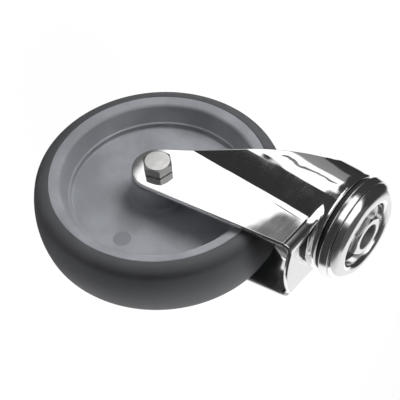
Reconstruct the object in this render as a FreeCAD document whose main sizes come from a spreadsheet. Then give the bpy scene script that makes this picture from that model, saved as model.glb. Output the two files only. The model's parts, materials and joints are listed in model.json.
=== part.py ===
import FreeCAD, Part
import math
import operator
import os
from types import SimpleNamespace

import Sketcher

# Swivel caster with a bolt hole: a deep-drawn fork under a double ball race head,
# and a moulded wheel with a soft tread on two ball bearings.
# The origin is on the swivel axis in the mounting plane, +Z is up, the wheel trails to +X.

V = FreeCAD.Vector
doc = FreeCAD.newDocument("swivel_caster")

SIZES = (
    # Wheel
    ("wheel_diameter", 125.0, "wheel over the tread"),
    ("tread_width", 32.0, "tread from side to side"),
    ("tread_crown_radius", 45.0, "crowning of the running surface, across the wheel"),
    ("tread_shoulder", 6.8, "rounding between running surface and side"),
    ("tread_height", 8.7, "tread above the rim at the wheel's side"),
    ("rim_flange", 3.5, "rim that shows beside the tread's anchor, along the axle"),
    ("anchor_depth", 3.5, "tread material set into the rim"),
    ("anchor_rib_height", 1.8, "rib in the middle of the anchor groove"),
    ("anchor_rib_width", 7.0, "rib along the axle"),
    ("anchor_draft", 1.0, "slope on the flanks of groove and rib"),
    ("rim_face", 5.2, "flat ring on the wheel's side, across"),
    ("rim_face_drop", 1.2, "how far the flat ring leans in"),
    ("rim_face_round", 2.2, "rounding of the flat ring's inner edge"),
    ("rim_wall", 3.4, "steep wall inside the flat ring, across"),
    ("rim_wall_depth", 8.9, "steep wall inside the flat ring, along the axle"),
    ("rim_ledge", 0.9, "narrow ledge at the foot of the steep wall, across"),
    ("rim_ledge_drop", 0.1, "how far the ledge leans in"),
    ("rim_ledge_round", 0.5, "rounding of the ledge's two corners"),
    ("rim_foot_draft", 0.3, "draft of the low wall between ledge and disc"),
    ("web_thickness", 6.0, "wheel disc at its outer edge"),
    ("web_crown", 0.6, "how much the disc thickens towards the hub, each side"),
    ("web_fillet", 1.2, "fillet between disc and low wall"),
    ("hub_wall", 2.3, "plastic round the bearing"),
    ("hub_fillet", 3.0, "fillet between disc and hub"),
    ("hub_gap", 1.0, "play between hub and fork leg"),
    # Wheel bearings
    ("bearing_bore", 8.0, "bore of the inner ring"),
    ("bearing_outer", 22.0, "outer ring"),
    ("bearing_width", 7.0, "bearing along the axle"),
    ("bearing_recess", 0.5, "bearing set back from the hub's face"),
    ("bearing_ball", 3.97, "ball"),
    ("bearing_ring_wall", 2.0, "ring beside its race"),
    ("bearing_clearance", 0.1, "room round each ball"),
    ("cage_wall", 1.2, "cage across"),
    ("cage_back", 0.4, "cage behind the balls"),
    ("cage_reach", 0.8, "cage in front of the balls' centres"),
    ("shield_thickness", 0.3, "bearing shield"),
    ("shield_setback", 0.3, "shield behind the ring's face"),
    ("shield_gap", 0.25, "play between shield and inner ring"),
    # Axle
    ("axle_play", 0.05, "bolt in its bearings, nut and spacers, on the radius"),
    ("fork_hole_play", 0.2, "bolt in the fork, on the radius"),
    ("spacer_wall", 1.7, "spacers round the bolt"),
    ("bolt_head_flats", 13.0, "across the flats of bolt head and nut"),
    ("bolt_head_height", 5.3, "bolt head"),
    ("bolt_head_turn", 41.0, "angle of a corner of the head from the upright, degrees"),
    ("bolt_chamfer", 0.8, "chamfer on head, nut and bolt end"),
    ("bolt_overhang", 1.5, "bolt end beyond the nut"),
    ("nut_hex_height", 6.2, "hexagon of the lock nut"),
    ("nut_collar_height", 1.8, "collar of the lock nut"),
    ("insert_wall", 1.2, "ring that locks the nut"),
    # Fork
    ("wheel_side_gap", 1.5, "play between tread and leg"),
    ("sheet", 2.5, "fork sheet"),
    ("swivel_offset", 41.0, "axle behind the swivel axis"),
    ("crown_clearance", 15.0, "wheel to crown"),
    ("leg_end_radius", 13.0, "rounded end of the leg"),
    ("front_lean", 33.5, "front edge against the upright, degrees"),
    ("rear_lean", 9.6, "rear edge against the upright, degrees"),
    ("crown_inside_bend", 2.5, "bend between crown and leg, inside"),
    ("nose_diameter", 52.6, "round nose of the fork"),
    ("flare_lean", 18.6, "flat between leg and nose, against the leg, degrees"),
    ("flare_bend", 12.0, "bend between leg and flare, outside"),
    ("nose_height", 15.5, "nose from its top to its lower edge at the front"),
    ("front_turn", 13.0, "rounding between the nose's lower edge and the front edge"),
    ("front_rise_lean", 30.6, "front edge on flare and nose, against the upright, degrees"),
    ("nose_rise", 3.0, "nose above the crown"),
    ("nose_edge", 1.6, "rounding of the nose's top edge"),
    ("nose_edge_inside", 0.6, "the same edge inside"),
    ("king_hole_diameter", 22.0, "hole in the crown"),
    # Swivel head
    ("bolt_hole", 13.0, "hole for the fixing bolt"),
    ("bolt_hole_chamfer", 0.4, "chamfer at its mouth"),
    ("sleeve_wall", 2.0, "sleeve round the bolt hole"),
    ("sleeve_flats", 19.0, "across the flats of the sleeve's head"),
    ("sleeve_head", 6.0, "height of the sleeve's head"),
    ("sleeve_chamfer", 0.7, "chamfer on the sleeve's head"),
    ("sleeve_turn", 11.0, "angle of the sleeve's head, degrees"),
    ("sleeve_flange", 2.5, "riveted end beyond the sleeve"),
    ("sleeve_flange_height", 2.0, "riveted end"),
    ("cap_sheet", 1.5, "sheet of the cap"),
    ("cap_diameter", 52.6, "cap over its edge"),
    ("cap_edge_depth", 5.0, "edge of the cap below its crest"),
    ("cap_crest", 40.0, "diameter of the cap's crest"),
    ("cap_recess", 33.4, "recess in the cap"),
    ("ring_seam", 0.3, "seam between cap and race ring"),
    ("ring_diameter", 54.8, "race ring over its lower edge"),
    ("ring_taper_width", 0.9, "race ring narrower at the top, on the radius"),
    ("ring_skirt", 0.3, "skirt of the race ring below its plate"),
    ("ring_edge", 0.7, "rounding of the lower edge"),
    ("ring_band", 2.2, "band of the race ring, across"),
    ("ring_plate", 2.0, "plate of the race ring"),
    ("swivel_ball", 5.0, "swivel balls"),
    ("swivel_clearance", 0.15, "room round each swivel ball"),
    ("ball_spacing", 1.12, "ball spacing as a multiple of the ball"),
    ("upper_race_floor", 1.0, "race ring above the upper balls"),
    ("upper_race_depth", 1.3, "upper race set into the crown"),
    ("lower_pitch", 28.0, "circle of the lower balls"),
    ("lower_race_depth", 0.55, "lower race set into the crown"),
    ("lower_race_floor", 2.0, "lower race below its balls"),
    ("lower_race_rim", 1.8, "rim round the lower balls"),
    ("lower_race_drop", 0.3, "rim below the balls' centres"),
    ("lower_race_hub", 0.8, "inner land below the balls' centres"),
    ("lower_race_bevel_width", 2.2, "bevel under the rim"),
    ("seal_width", 2.6, "dust seal, across"),
    ("seal_gap", 0.3, "dust seal above the fork"),
    ("seal_ball_gap", 0.6, "dust seal outside the upper balls"),
    ("seal_lip", 0.8, "bevel of the seal's lip"),
)


class Dim:
    """A size in millimetres, with the sheet expression that gives it."""

    def __init__(self, value, text):
        self.value = value
        self.text = text

    def __add__(self, other):
        return combine(self, "+", other)

    def __radd__(self, other):
        return combine(other, "+", self)

    def __sub__(self, other):
        return combine(self, "-", other)

    def __rsub__(self, other):
        return combine(other, "-", self)

    def __mul__(self, other):
        return combine(self, "*", other)

    def __rmul__(self, other):
        return combine(other, "*", self)

    def __truediv__(self, other):
        return combine(self, "/", other)

    def __neg__(self):
        return combine(0, "-", self)


SIGNS = {"+": operator.add, "-": operator.sub, "*": operator.mul, "/": operator.truediv}


def as_dim(number):
    if isinstance(number, Dim):
        return number
    return Dim(float(number), "(%r)" % float(number))


def combine(left, sign, right):
    left = as_dim(left)
    right = as_dim(right)
    return Dim(SIGNS[sign](left.value, right.value), "(%s %s %s)" % (left.text, sign, right.text))


def root(dim):
    return Dim(math.sqrt(dim.value), "sqrt(%s)" % dim.text)


def cosine(angle):
    return Dim(math.cos(math.radians(angle.value)), "cos(%s)" % angle.text)


def sine(angle):
    return Dim(math.sin(math.radians(angle.value)), "sin(%s)" % angle.text)


def reach(radius, offset):
    """Half the chord that a circle cuts from a line at that offset from its centre."""
    return root(radius * radius - offset * offset)


def write_sheet():
    sheet = doc.addObject("Spreadsheet::Sheet", "Sizes")
    for row, (alias, value, meaning) in enumerate(SIZES, 1):
        sheet.set("A%d" % row, alias)
        sheet.set("B%d" % row, str(value))
        sheet.set("C%d" % row, meaning)
        sheet.setAlias("B%d" % row, alias)
    doc.recompute()
    return {alias: Dim(float(sheet.get(alias)), "Sizes." + alias) for alias, value, meaning in SIZES}


mm = SimpleNamespace(**write_sheet())
HEX_CORNER = 1 / math.sqrt(3)
FULL_TURN = 360.0

# Levels on the swivel axis, down from the mounting plane
cap_floor = -mm.sleeve_head
plate_top = cap_floor - mm.cap_sheet
plate_under = plate_top - mm.ring_plate
swivel_ball_radius = mm.swivel_ball / 2
swivel_race = swivel_ball_radius + mm.swivel_clearance
upper_ball_level = plate_top - mm.upper_race_floor - swivel_race
nose_top = upper_ball_level - swivel_race + mm.upper_race_depth
crown_top = nose_top - mm.nose_rise
nose_under = nose_top - mm.sheet
lower_ball_level = nose_under + mm.lower_race_depth - swivel_race
lower_race_under = lower_ball_level - swivel_race - mm.lower_race_floor
sleeve_end = lower_race_under - mm.sleeve_flange_height
wheel_radius = mm.wheel_diameter / 2
axle_level = crown_top - mm.sheet - mm.crown_clearance - wheel_radius

# Circles of the swivel head
seal_outside = mm.ring_diameter / 2 - mm.ring_band
seal_inside = seal_outside - mm.seal_width
upper_pitch = seal_inside - mm.seal_ball_gap - swivel_ball_radius
lower_pitch = mm.lower_pitch / 2

# Places along the axle, from the middle of the wheel
tread_half = mm.tread_width / 2
leg_inside = tread_half + mm.wheel_side_gap
leg_outside = leg_inside + mm.sheet
hub_face = leg_inside - mm.hub_gap
bearing_face = hub_face - mm.bearing_recess
bearing_middle = bearing_face - mm.bearing_width / 2
bearing_back = bearing_face - mm.bearing_width

bolt_radius = mm.bearing_bore / 2 - mm.axle_play
spacer_bore = mm.bearing_bore / 2
bearing_radius = mm.bearing_outer / 2
bearing_pitch = (spacer_bore + bearing_radius) / 2
bearing_ball_radius = mm.bearing_ball / 2
bearing_race = bearing_ball_radius + mm.bearing_clearance
inner_land = spacer_bore + mm.bearing_ring_wall
outer_land = bearing_radius - mm.bearing_ring_wall
sleeve_radius = mm.bolt_hole / 2 + mm.sleeve_wall


def new_body(label):
    body = doc.addObject("PartDesign::Body", label)
    body.Label = label
    return body


def datum(body, role):
    return next(feature for feature in body.Origin.OriginFeatures if feature.Role == role)


def bind(thing, name, dim):
    thing.setExpression(name, dim.text)


def set_constraint(sketch, dim, *constraint):
    number = sketch.addConstraint(Sketcher.Constraint(*constraint, dim.value))
    if "Sizes" in dim.text:
        bind(sketch, "Constraints[%d]" % number, dim)


def left(radius):
    """A side of an outline that curves to the left on the way round."""
    return (as_dim(radius), 1)


def right(radius):
    """A side of an outline that curves to the right on the way round."""
    return (as_dim(radius), -1)


def draw_arc(sketch, start, end, radius, turn):
    chord = end - start
    across = V(-chord.y, chord.x, 0).normalize()
    height = math.sqrt(max(radius.value ** 2 - chord.Length ** 2 / 4, 0))
    centre = (start + end) * 0.5 + across * (turn * height)
    first, last = (start, end) if turn > 0 else (end, start)
    begin = math.atan2(first.y - centre.y, first.x - centre.x)
    finish = math.atan2(last.y - centre.y, last.x - centre.x)
    if finish < begin:
        finish += 2 * math.pi
    circle = Part.Circle(centre, V(0, 0, 1), radius.value)
    number = sketch.addGeometry(Part.ArcOfCircle(circle, begin, finish))
    set_constraint(sketch, radius, "Radius", number)
    ends = ((number, 1), (number, 2))
    return ends if turn > 0 else ends[::-1]


def draw_line(sketch, start, end):
    number = sketch.addGeometry(Part.LineSegment(start, end))
    return ((number, 1), (number, 2))


def draw_outline(sketch, corners, curves):
    """A closed outline through the corners; curves names the sides that are arcs, by number."""
    corners = [(as_dim(across), as_dim(up)) for across, up in corners]
    points = [V(across.value, up.value, 0) for across, up in corners]
    sides = []
    for number, start in enumerate(points):
        end = points[(number + 1) % len(points)]
        if number in curves:
            sides.append(draw_arc(sketch, start, end, *curves[number]))
        else:
            sides.append(draw_line(sketch, start, end))
    for number, (start, end) in enumerate(sides):
        following = sides[(number + 1) % len(sides)][0]
        sketch.addConstraint(Sketcher.Constraint("Coincident", *end, *following))
        across, up = corners[number]
        set_constraint(sketch, across, "DistanceX", -1, 1, *start)
        set_constraint(sketch, up, "DistanceY", -1, 1, *start)


def outline(body, name, role, corners, curves=None, level=None):
    sketch = body.newObject("Sketcher::SketchObject", name)
    sketch.AttachmentSupport = [(datum(body, role), "")]
    sketch.MapMode = "FlatFace"
    if level is not None:
        bind(sketch, "AttachmentOffset.Base.z", level)
    draw_outline(sketch, corners, curves or {})
    return sketch


def finish(body, feature):
    body.Tip = feature
    doc.recompute()
    return feature


def revolve(body, name, corners, curves=None, kind="PartDesign::Revolution"):
    """Turns an outline of (radius, height) corners about the body's own Z axis."""
    sketch = outline(body, name + "_outline", "XZ_Plane", corners, curves)
    turned = body.newObject(kind, name)
    turned.Profile = sketch
    turned.ReferenceAxis = (sketch, ["V_Axis"])
    turned.Angle = FULL_TURN
    return finish(body, turned)


def groove(body, name, corners, curves=None):
    return revolve(body, name, corners, curves, "PartDesign::Groove")


def hexagon(body, name, flats, low, height):
    """A hexagonal block with two corners on the body's Y axis."""
    corner = flats * HEX_CORNER
    side = flats / 2
    corners = [(0, corner), (-side, corner / 2), (-side, -corner / 2),
               (0, -corner), (side, -corner / 2), (side, corner / 2)]
    sketch = outline(body, name + "_outline", "XY_Plane", corners, level=low)
    pad = body.newObject("PartDesign::Pad", name)
    pad.Profile = sketch
    bind(pad, "Length", height)
    return finish(body, pad)


def round_edges(body, name, radius, places):
    """Rounds the circular edges that lie at the given (radius, height) places."""
    base = body.Tip
    names = []
    for number, edge in enumerate(base.Shape.Edges, 1):
        if not isinstance(edge.Curve, Part.Circle):
            continue
        for across, level in places:
            centre = edge.Curve.Center
            near = abs(edge.Curve.Radius - across.value) + abs(centre.z - level.value)
            if near < 1e-4 and abs(centre.x) + abs(centre.y) < 1e-6:
                names.append("Edge%d" % number)
    fillet = body.newObject("PartDesign::Fillet", name)
    fillet.Base = (base, names)
    bind(fillet, "Radius", radius)
    return finish(body, fillet)


def put_on_axle(body, along=None, turn=0.0):
    """Lays the body's Z axis along the axle, towards -Y, and moves it along by that much."""
    upright = FreeCAD.Rotation(V(1, 0, 0), 90)
    body.Placement = FreeCAD.Placement(V(), upright * FreeCAD.Rotation(V(0, 0, 1), turn))
    bind(body, "Placement.Base.x", mm.swivel_offset)
    bind(body, "Placement.Base.z", axle_level)
    if along is not None:
        bind(body, "Placement.Base.y", -along)
    return body


def ball_count(pitch_radius, ball):
    return int(2 * math.pi * pitch_radius.value / (ball.value * mm.ball_spacing.value))


def ball_ring(label, pitch, ball_radius, level, count):
    """Separate balls on a circle about the body's Z axis."""
    body = new_body(label)
    body.AllowCompound = True
    sketch = body.newObject("Sketcher::SketchObject", label + "_outline")
    sketch.AttachmentSupport = [(datum(body, "XZ_Plane"), "")]
    sketch.MapMode = "FlatFace"
    draw_ball(sketch, pitch, ball_radius, level)
    ball = body.newObject("PartDesign::Revolution", label + "_ball")
    ball.Profile = sketch
    ball.ReferenceAxis = (sketch, ["Axis0"])
    ball.Angle = FULL_TURN
    finish(body, ball)
    repeat_round(body, label + "_ring", ball, count)
    return body


def draw_ball(sketch, pitch, ball_radius, level):
    """Half a disc beside its own upright axis, which is a construction line."""
    centre = V(pitch.value, level.value, 0)
    rise = V(0, ball_radius.value, 0)
    circle = Part.Circle(centre, V(0, 0, 1), ball_radius.value)
    arc = sketch.addGeometry(Part.ArcOfCircle(circle, -math.pi / 2, math.pi / 2))
    flat = sketch.addGeometry(Part.LineSegment(centre + rise, centre - rise))
    axis = sketch.addGeometry(Part.LineSegment(centre + rise, centre - rise), True)
    for line in (flat, axis):
        sketch.addConstraint(Sketcher.Constraint("Coincident", line, 1, arc, 2))
        sketch.addConstraint(Sketcher.Constraint("Coincident", line, 2, arc, 1))
    sketch.addConstraint(Sketcher.Constraint("Vertical", flat))
    sketch.addConstraint(Sketcher.Constraint("PointOnObject", arc, 3, flat))
    set_constraint(sketch, pitch, "DistanceX", -1, 1, arc, 3)
    set_constraint(sketch, level, "DistanceY", -1, 1, arc, 3)
    set_constraint(sketch, ball_radius, "Radius", arc)


def repeat_round(body, name, feature, count):
    pattern = body.newObject("PartDesign::PolarPattern", name)
    pattern.Originals = [feature]
    pattern.Axis = (datum(body, "Z_Axis"), [""])
    pattern.Angle = FULL_TURN
    pattern.Occurrences = count
    return finish(body, pattern)


def make_tread_and_centre():
    """The soft tread, and the moulded wheel centre that it is anchored on."""
    rim = wheel_radius - mm.tread_height
    shoulder_drop = mm.tread_crown_radius - reach(mm.tread_crown_radius, tread_half)
    flange = tread_half - mm.rim_flange
    floor = rim - mm.anchor_depth
    rib = floor + mm.anchor_rib_height
    rib_half = mm.anchor_rib_width / 2
    anchor = [(rim, tread_half), (rim, flange), (floor, flange - mm.anchor_draft),
              (floor, rib_half + mm.anchor_draft), (rib, rib_half)]
    anchor += [(across, -level) for across, level in reversed(anchor)]

    tread = new_body("tread")
    shoulder = wheel_radius - shoulder_drop
    revolve(tread, "tread_form", anchor + [(shoulder, -tread_half), (shoulder, tread_half)],
            {len(anchor): left(mm.tread_crown_radius)})
    round_edges(tread, "tread_shoulders", mm.tread_shoulder,
                [(shoulder, tread_half), (shoulder, -tread_half)])
    put_on_axle(tread)

    face = rim - mm.rim_face
    face_level = tread_half - mm.rim_face_drop
    wall = face - mm.rim_wall
    wall_level = face_level - mm.rim_wall_depth
    ledge = wall - mm.rim_ledge
    ledge_level = wall_level - mm.rim_ledge_drop
    web = ledge - mm.rim_foot_draft
    web_level = mm.web_thickness / 2
    hub = bearing_radius + mm.hub_wall
    hub_level = web_level + mm.web_crown
    seat_stop = (bearing_radius + outer_land) / 2
    side = [(face, face_level), (wall, wall_level), (ledge, ledge_level),
            (web, web_level), (hub, hub_level),
            (hub, hub_face), (bearing_radius, hub_face), (bearing_radius, bearing_back),
            (seat_stop, bearing_back)]
    other_side = [(across, -level) for across, level in reversed(side)]
    centre = new_body("wheel_centre")
    revolve(centre, "centre_form", side + other_side + anchor[::-1])
    both = (1, -1)
    round_edges(centre, "centre_web", mm.web_fillet, [(web, sign * web_level) for sign in both])
    round_edges(centre, "centre_hub", mm.hub_fillet, [(hub, sign * hub_level) for sign in both])
    round_edges(centre, "centre_ledge", mm.rim_ledge_round,
                [(ledge, sign * ledge_level) for sign in both]
                + [(wall, sign * wall_level) for sign in both])
    round_edges(centre, "centre_face_edge", mm.rim_face_round,
                [(face, sign * face_level) for sign in both])
    put_on_axle(centre)
    return [tread, centre]


def make_bearing(side, along):
    """One wheel bearing: rings, balls in their cage, and the shield on its outer side."""
    half = mm.bearing_width / 2
    outward = 1 if along.value > 0 else -1
    inner_reach = reach(bearing_race, bearing_pitch - inner_land)
    inner = new_body("bearing_inner_ring_" + side)
    revolve(inner, "inner_form_" + side,
            [(spacer_bore, -half), (inner_land, -half), (inner_land, -inner_reach),
             (inner_land, inner_reach), (inner_land, half), (spacer_bore, half)],
            {2: right(bearing_race)})
    outer_reach = reach(bearing_race, outer_land - bearing_pitch)
    outer = new_body("bearing_outer_ring_" + side)
    revolve(outer, "outer_form_" + side,
            [(outer_land, -half), (bearing_radius, -half), (bearing_radius, half),
             (outer_land, half), (outer_land, outer_reach), (outer_land, -outer_reach)],
            {4: right(bearing_race)})
    count = ball_count(bearing_pitch, mm.bearing_ball * 1.4)
    balls = ball_ring("bearing_balls_" + side, bearing_pitch, bearing_ball_radius, as_dim(0), count)

    cage = new_body("bearing_cage_" + side)
    pocket = bearing_ball_radius + mm.bearing_clearance / 2
    back = -outward * (pocket + mm.cage_back)
    front = outward * mm.cage_reach
    low, high = (back, front) if outward > 0 else (front, back)
    inside = bearing_pitch - mm.cage_wall / 2
    outside = bearing_pitch + mm.cage_wall / 2
    revolve(cage, "cage_form_" + side, [(inside, low), (outside, low), (outside, high), (inside, high)])
    sketch = cage.newObject("Sketcher::SketchObject", "cage_pocket_outline_" + side)
    sketch.AttachmentSupport = [(datum(cage, "XZ_Plane"), "")]
    sketch.MapMode = "FlatFace"
    draw_ball(sketch, bearing_pitch, pocket, as_dim(0))
    cut = cage.newObject("PartDesign::Groove", "cage_pocket_" + side)
    cut.Profile = sketch
    cut.ReferenceAxis = (sketch, ["Axis0"])
    cut.Angle = FULL_TURN
    finish(cage, cut)
    repeat_round(cage, "cage_pockets_" + side, cut, count)

    shield = new_body("bearing_shield_" + side)
    shield_out = outward * (half - mm.shield_setback)
    shield_in = shield_out - outward * mm.shield_thickness
    low, high = (shield_in, shield_out) if outward > 0 else (shield_out, shield_in)
    bore = inner_land + mm.shield_gap
    revolve(shield, "shield_form_" + side,
            [(bore, low), (outer_land, low), (outer_land, high), (bore, high)])
    pieces = [inner, outer, balls, cage, shield]
    for piece in pieces:
        put_on_axle(piece, along)
    return pieces


def make_axle():
    """Axle bolt, lock nut with its insert, and the spacers between legs and bearings."""
    bolt = new_body("axle_bolt")
    nut_face = -leg_outside
    nut_end = nut_face - mm.nut_hex_height - mm.nut_collar_height
    bolt_end = nut_end - mm.bolt_overhang
    tip = bolt_radius - mm.bolt_chamfer
    revolve(bolt, "bolt_shank",
            [(0, bolt_end), (tip, bolt_end), (bolt_radius, bolt_end + mm.bolt_chamfer),
             (bolt_radius, leg_outside), (0, leg_outside)])
    hexagon(bolt, "bolt_head", mm.bolt_head_flats, leg_outside, mm.bolt_head_height)
    head_top = leg_outside + mm.bolt_head_height
    chamfer_corners(bolt, "bolt_head_chamfer", mm.bolt_head_flats, head_top, mm.bolt_chamfer, -1)
    put_on_axle(bolt, turn=-mm.bolt_head_turn.value)

    nut = new_body("axle_nut")
    collar_low = nut_face - mm.nut_hex_height
    thread = spacer_bore
    collar = mm.bolt_head_flats / 2 - mm.bolt_chamfer / 2
    hexagon(nut, "nut_hex", mm.bolt_head_flats, collar_low, mm.nut_hex_height)
    chamfer_corners(nut, "nut_chamfer", mm.bolt_head_flats, collar_low, mm.bolt_chamfer, 1)
    revolve(nut, "nut_collar",
            [(0, nut_end), (collar - mm.bolt_chamfer, nut_end), (collar, nut_end + mm.bolt_chamfer),
             (collar, collar_low), (0, collar_low)])
    groove(nut, "nut_bore",
           [(0, nut_end), (thread + mm.insert_wall, nut_end), (thread + mm.insert_wall, collar_low),
            (thread, collar_low), (thread, nut_face), (0, nut_face)])
    put_on_axle(nut)

    insert = new_body("nut_insert")
    insert_end = nut_end + mm.bolt_chamfer / 2
    revolve(insert, "insert_form",
            [(thread, insert_end), (thread + mm.insert_wall, insert_end),
             (thread + mm.insert_wall, collar_low), (thread, collar_low)])
    put_on_axle(insert)

    spacers = [make_spacer("axle_spacer", -bearing_back, bearing_back),
               make_spacer("side_spacer_near", bearing_face, leg_inside),
               make_spacer("side_spacer_far", -leg_inside, -bearing_face)]
    return [bolt, nut, insert] + spacers


def chamfer_corners(body, name, flats, end, chamfer, inward):
    """Turns the corners of a hexagon down at one end; inward is the way into the material."""
    inside = flats / 2 - chamfer / 4
    outside = flats * HEX_CORNER + chamfer
    drop = (outside - inside) * HEX_CORNER
    return groove(body, name, [(inside, end), (outside, end + inward * drop), (outside, end)])


def make_spacer(label, low, high):
    body = new_body(label)
    outside = spacer_bore + mm.spacer_wall
    revolve(body, label + "_form",
            [(spacer_bore, low), (outside, low), (outside, high), (spacer_bore, high)])
    return put_on_axle(body)


def make_cap():
    """Pressed cap: a dome over the race ring that dips to a flat floor under the sleeve's head."""
    edge = mm.cap_diameter / 2
    crest = mm.cap_crest / 2
    recess = mm.cap_recess / 2
    sheet = mm.cap_sheet
    across = edge - crest
    dome = (across * across + mm.cap_edge_depth * mm.cap_edge_depth) / (mm.cap_edge_depth * 2)
    lip = crest - recess
    share = (dome - sheet) / dome
    inner_edge = crest + across * share
    inner_drop = dome - (dome - mm.cap_edge_depth) * share
    cap = new_body("top_cap")
    revolve(cap, "cap_form",
            [(edge, -mm.cap_edge_depth), (crest, 0), (recess, -lip), (recess, cap_floor),
             (sleeve_radius, cap_floor), (sleeve_radius, plate_top), (recess + sheet, plate_top),
             (recess + sheet, -lip), (crest, -sheet), (inner_edge, -inner_drop)],
            {0: left(dome), 1: left(lip), 7: right(lip - sheet), 8: right(dome - sheet)})
    return cap, inner_drop


def make_race_ring(band_top):
    """Upper race: a plate under the cap with a band round its edge."""
    low_radius = mm.ring_diameter / 2
    high_radius = low_radius - mm.ring_taper_width
    low = plate_under - mm.ring_skirt
    band_inside = seal_outside
    half = reach(swivel_race, plate_under - upper_ball_level)
    ring = new_body("race_ring")
    revolve(ring, "ring_form",
            [(sleeve_radius, plate_top), (sleeve_radius, plate_under), (upper_pitch - half, plate_under),
             (upper_pitch + half, plate_under), (band_inside, plate_under), (band_inside, low),
             (low_radius, low), (high_radius, band_top), (band_inside - mm.ring_taper_width, band_top),
             (band_inside - mm.ring_taper_width, plate_top)],
            {2: right(swivel_race)})
    round_edges(ring, "ring_lower_edge", mm.ring_edge, [(low_radius, low)])
    return ring


def make_seal():
    """Dust seal in the gap between race ring and fork."""
    low = nose_top + mm.seal_gap
    seal = new_body("dust_seal")
    revolve(seal, "seal_form",
            [(seal_inside, plate_under), (seal_inside, low + mm.seal_lip),
             (seal_inside + mm.seal_lip, low), (seal_outside, low), (seal_outside, plate_under)])
    return seal


def make_sleeve():
    """Hollow rivet with a hexagonal head: it clamps cap and races, and the fixing bolt goes through it."""
    sleeve = new_body("bolt_sleeve")
    bore = mm.bolt_hole / 2
    flange = sleeve_radius + mm.sleeve_flange
    revolve(sleeve, "sleeve_stem",
            [(0, sleeve_end), (flange, sleeve_end), (flange, lower_race_under),
             (sleeve_radius, lower_race_under), (sleeve_radius, cap_floor), (0, cap_floor)])
    round_edges(sleeve, "sleeve_flange_edge", mm.sleeve_flange_height / 2, [(flange, sleeve_end)])
    hexagon(sleeve, "sleeve_hex", mm.sleeve_flats, cap_floor, mm.sleeve_head)
    chamfer_corners(sleeve, "sleeve_hex_chamfer", mm.sleeve_flats, as_dim(0), mm.sleeve_chamfer, -1)
    mouth = bore + mm.bolt_hole_chamfer
    groove(sleeve, "sleeve_bore",
           [(0, sleeve_end), (bore, sleeve_end), (bore, -mm.bolt_hole_chamfer), (mouth, 0), (0, 0)])
    sleeve.Placement = FreeCAD.Placement(V(), FreeCAD.Rotation(V(0, 0, 1), -mm.sleeve_turn.value))
    return sleeve


def make_lower_race():
    """Lower race: a ring under the crown that holds the lower balls against it."""
    rim_level = lower_ball_level - mm.lower_race_drop
    land_level = lower_ball_level - mm.lower_race_hub
    rim_inside = lower_pitch + reach(swivel_race, mm.lower_race_drop)
    land_outside = lower_pitch - reach(swivel_race, mm.lower_race_hub)
    rim = rim_inside + mm.lower_race_rim
    race = new_body("lower_race")
    revolve(race, "lower_race_form",
            [(sleeve_radius, lower_race_under), (rim - mm.lower_race_bevel_width, lower_race_under),
             (rim, lower_race_under + mm.lower_race_bevel_width), (rim, rim_level),
             (rim_inside, rim_level), (land_outside, land_level), (sleeve_radius, land_level)],
            {4: right(swivel_race)})
    return race


def make_swivel_head():
    cap, cap_underside = make_cap()
    upper = ball_ring("upper_balls", upper_pitch, swivel_ball_radius, upper_ball_level,
                      ball_count(upper_pitch, mm.swivel_ball))
    lower = ball_ring("lower_balls", lower_pitch, swivel_ball_radius, lower_ball_level,
                      ball_count(lower_pitch, mm.swivel_ball))
    band_top = -cap_underside
    return [cap, make_race_ring(band_top - mm.ring_seam / 2), make_seal(), make_sleeve(),
            make_lower_race(), upper, lower]


def primitive(kind, name, **sizes):
    """A Part primitive or feature with its sizes bound to the sheet."""
    thing = doc.addObject(kind, name)
    for key, dim in sizes.items():
        bind(thing, key.replace("__", "."), dim)
    return thing


def pair(kind, name, base, tool):
    both = doc.addObject(kind, name)
    both.Base = base
    both.Tool = tool
    both.Refine = True
    doc.recompute()
    return both


def fillet(name, base, edges):
    """Rounds the numbered edges, each with a radius at its start and at its end."""
    rounded = doc.addObject("Part::Fillet", name)
    rounded.Base = base
    rounded.Edges = edges
    doc.recompute()
    return rounded


def even_edges(shape, test, radius):
    """The edges that pass a test, each with the same radius at both ends."""
    return [(number, radius, radius) for number, edge in enumerate(shape.Edges, 1) if test(edge)]


fork_low = axle_level - mm.leg_end_radius * 2
fork_rear = mm.swivel_offset + mm.leg_end_radius * 3
nose_radius = mm.nose_diameter / 2


def flare_corner(half, radius):
    """Where the leg's plane and the flare's plane meet, along X."""
    return (radius - half * cosine(mm.flare_lean)) / sine(mm.flare_lean)


def plan_outline(name, half, radius, bend):
    """Crown and legs from above: straight sides that flare out until they touch the round nose."""
    sketch = doc.addObject("Sketcher::SketchObject", name)
    across = sine(mm.flare_lean)
    along = cosine(mm.flare_lean)
    corner = flare_corner(half, radius)
    run = bend * (1 - along) / across
    near = [(corner + run, half), (corner - run * along, half + run * across),
            (radius * across, radius * along)]
    far = [(x, -y) for x, y in reversed(near)]
    draw_outline(sketch, [(fork_rear, -half), (fork_rear, half)] + near + far,
                 {2: right(bend), 6: right(bend)})
    return sketch


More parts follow.
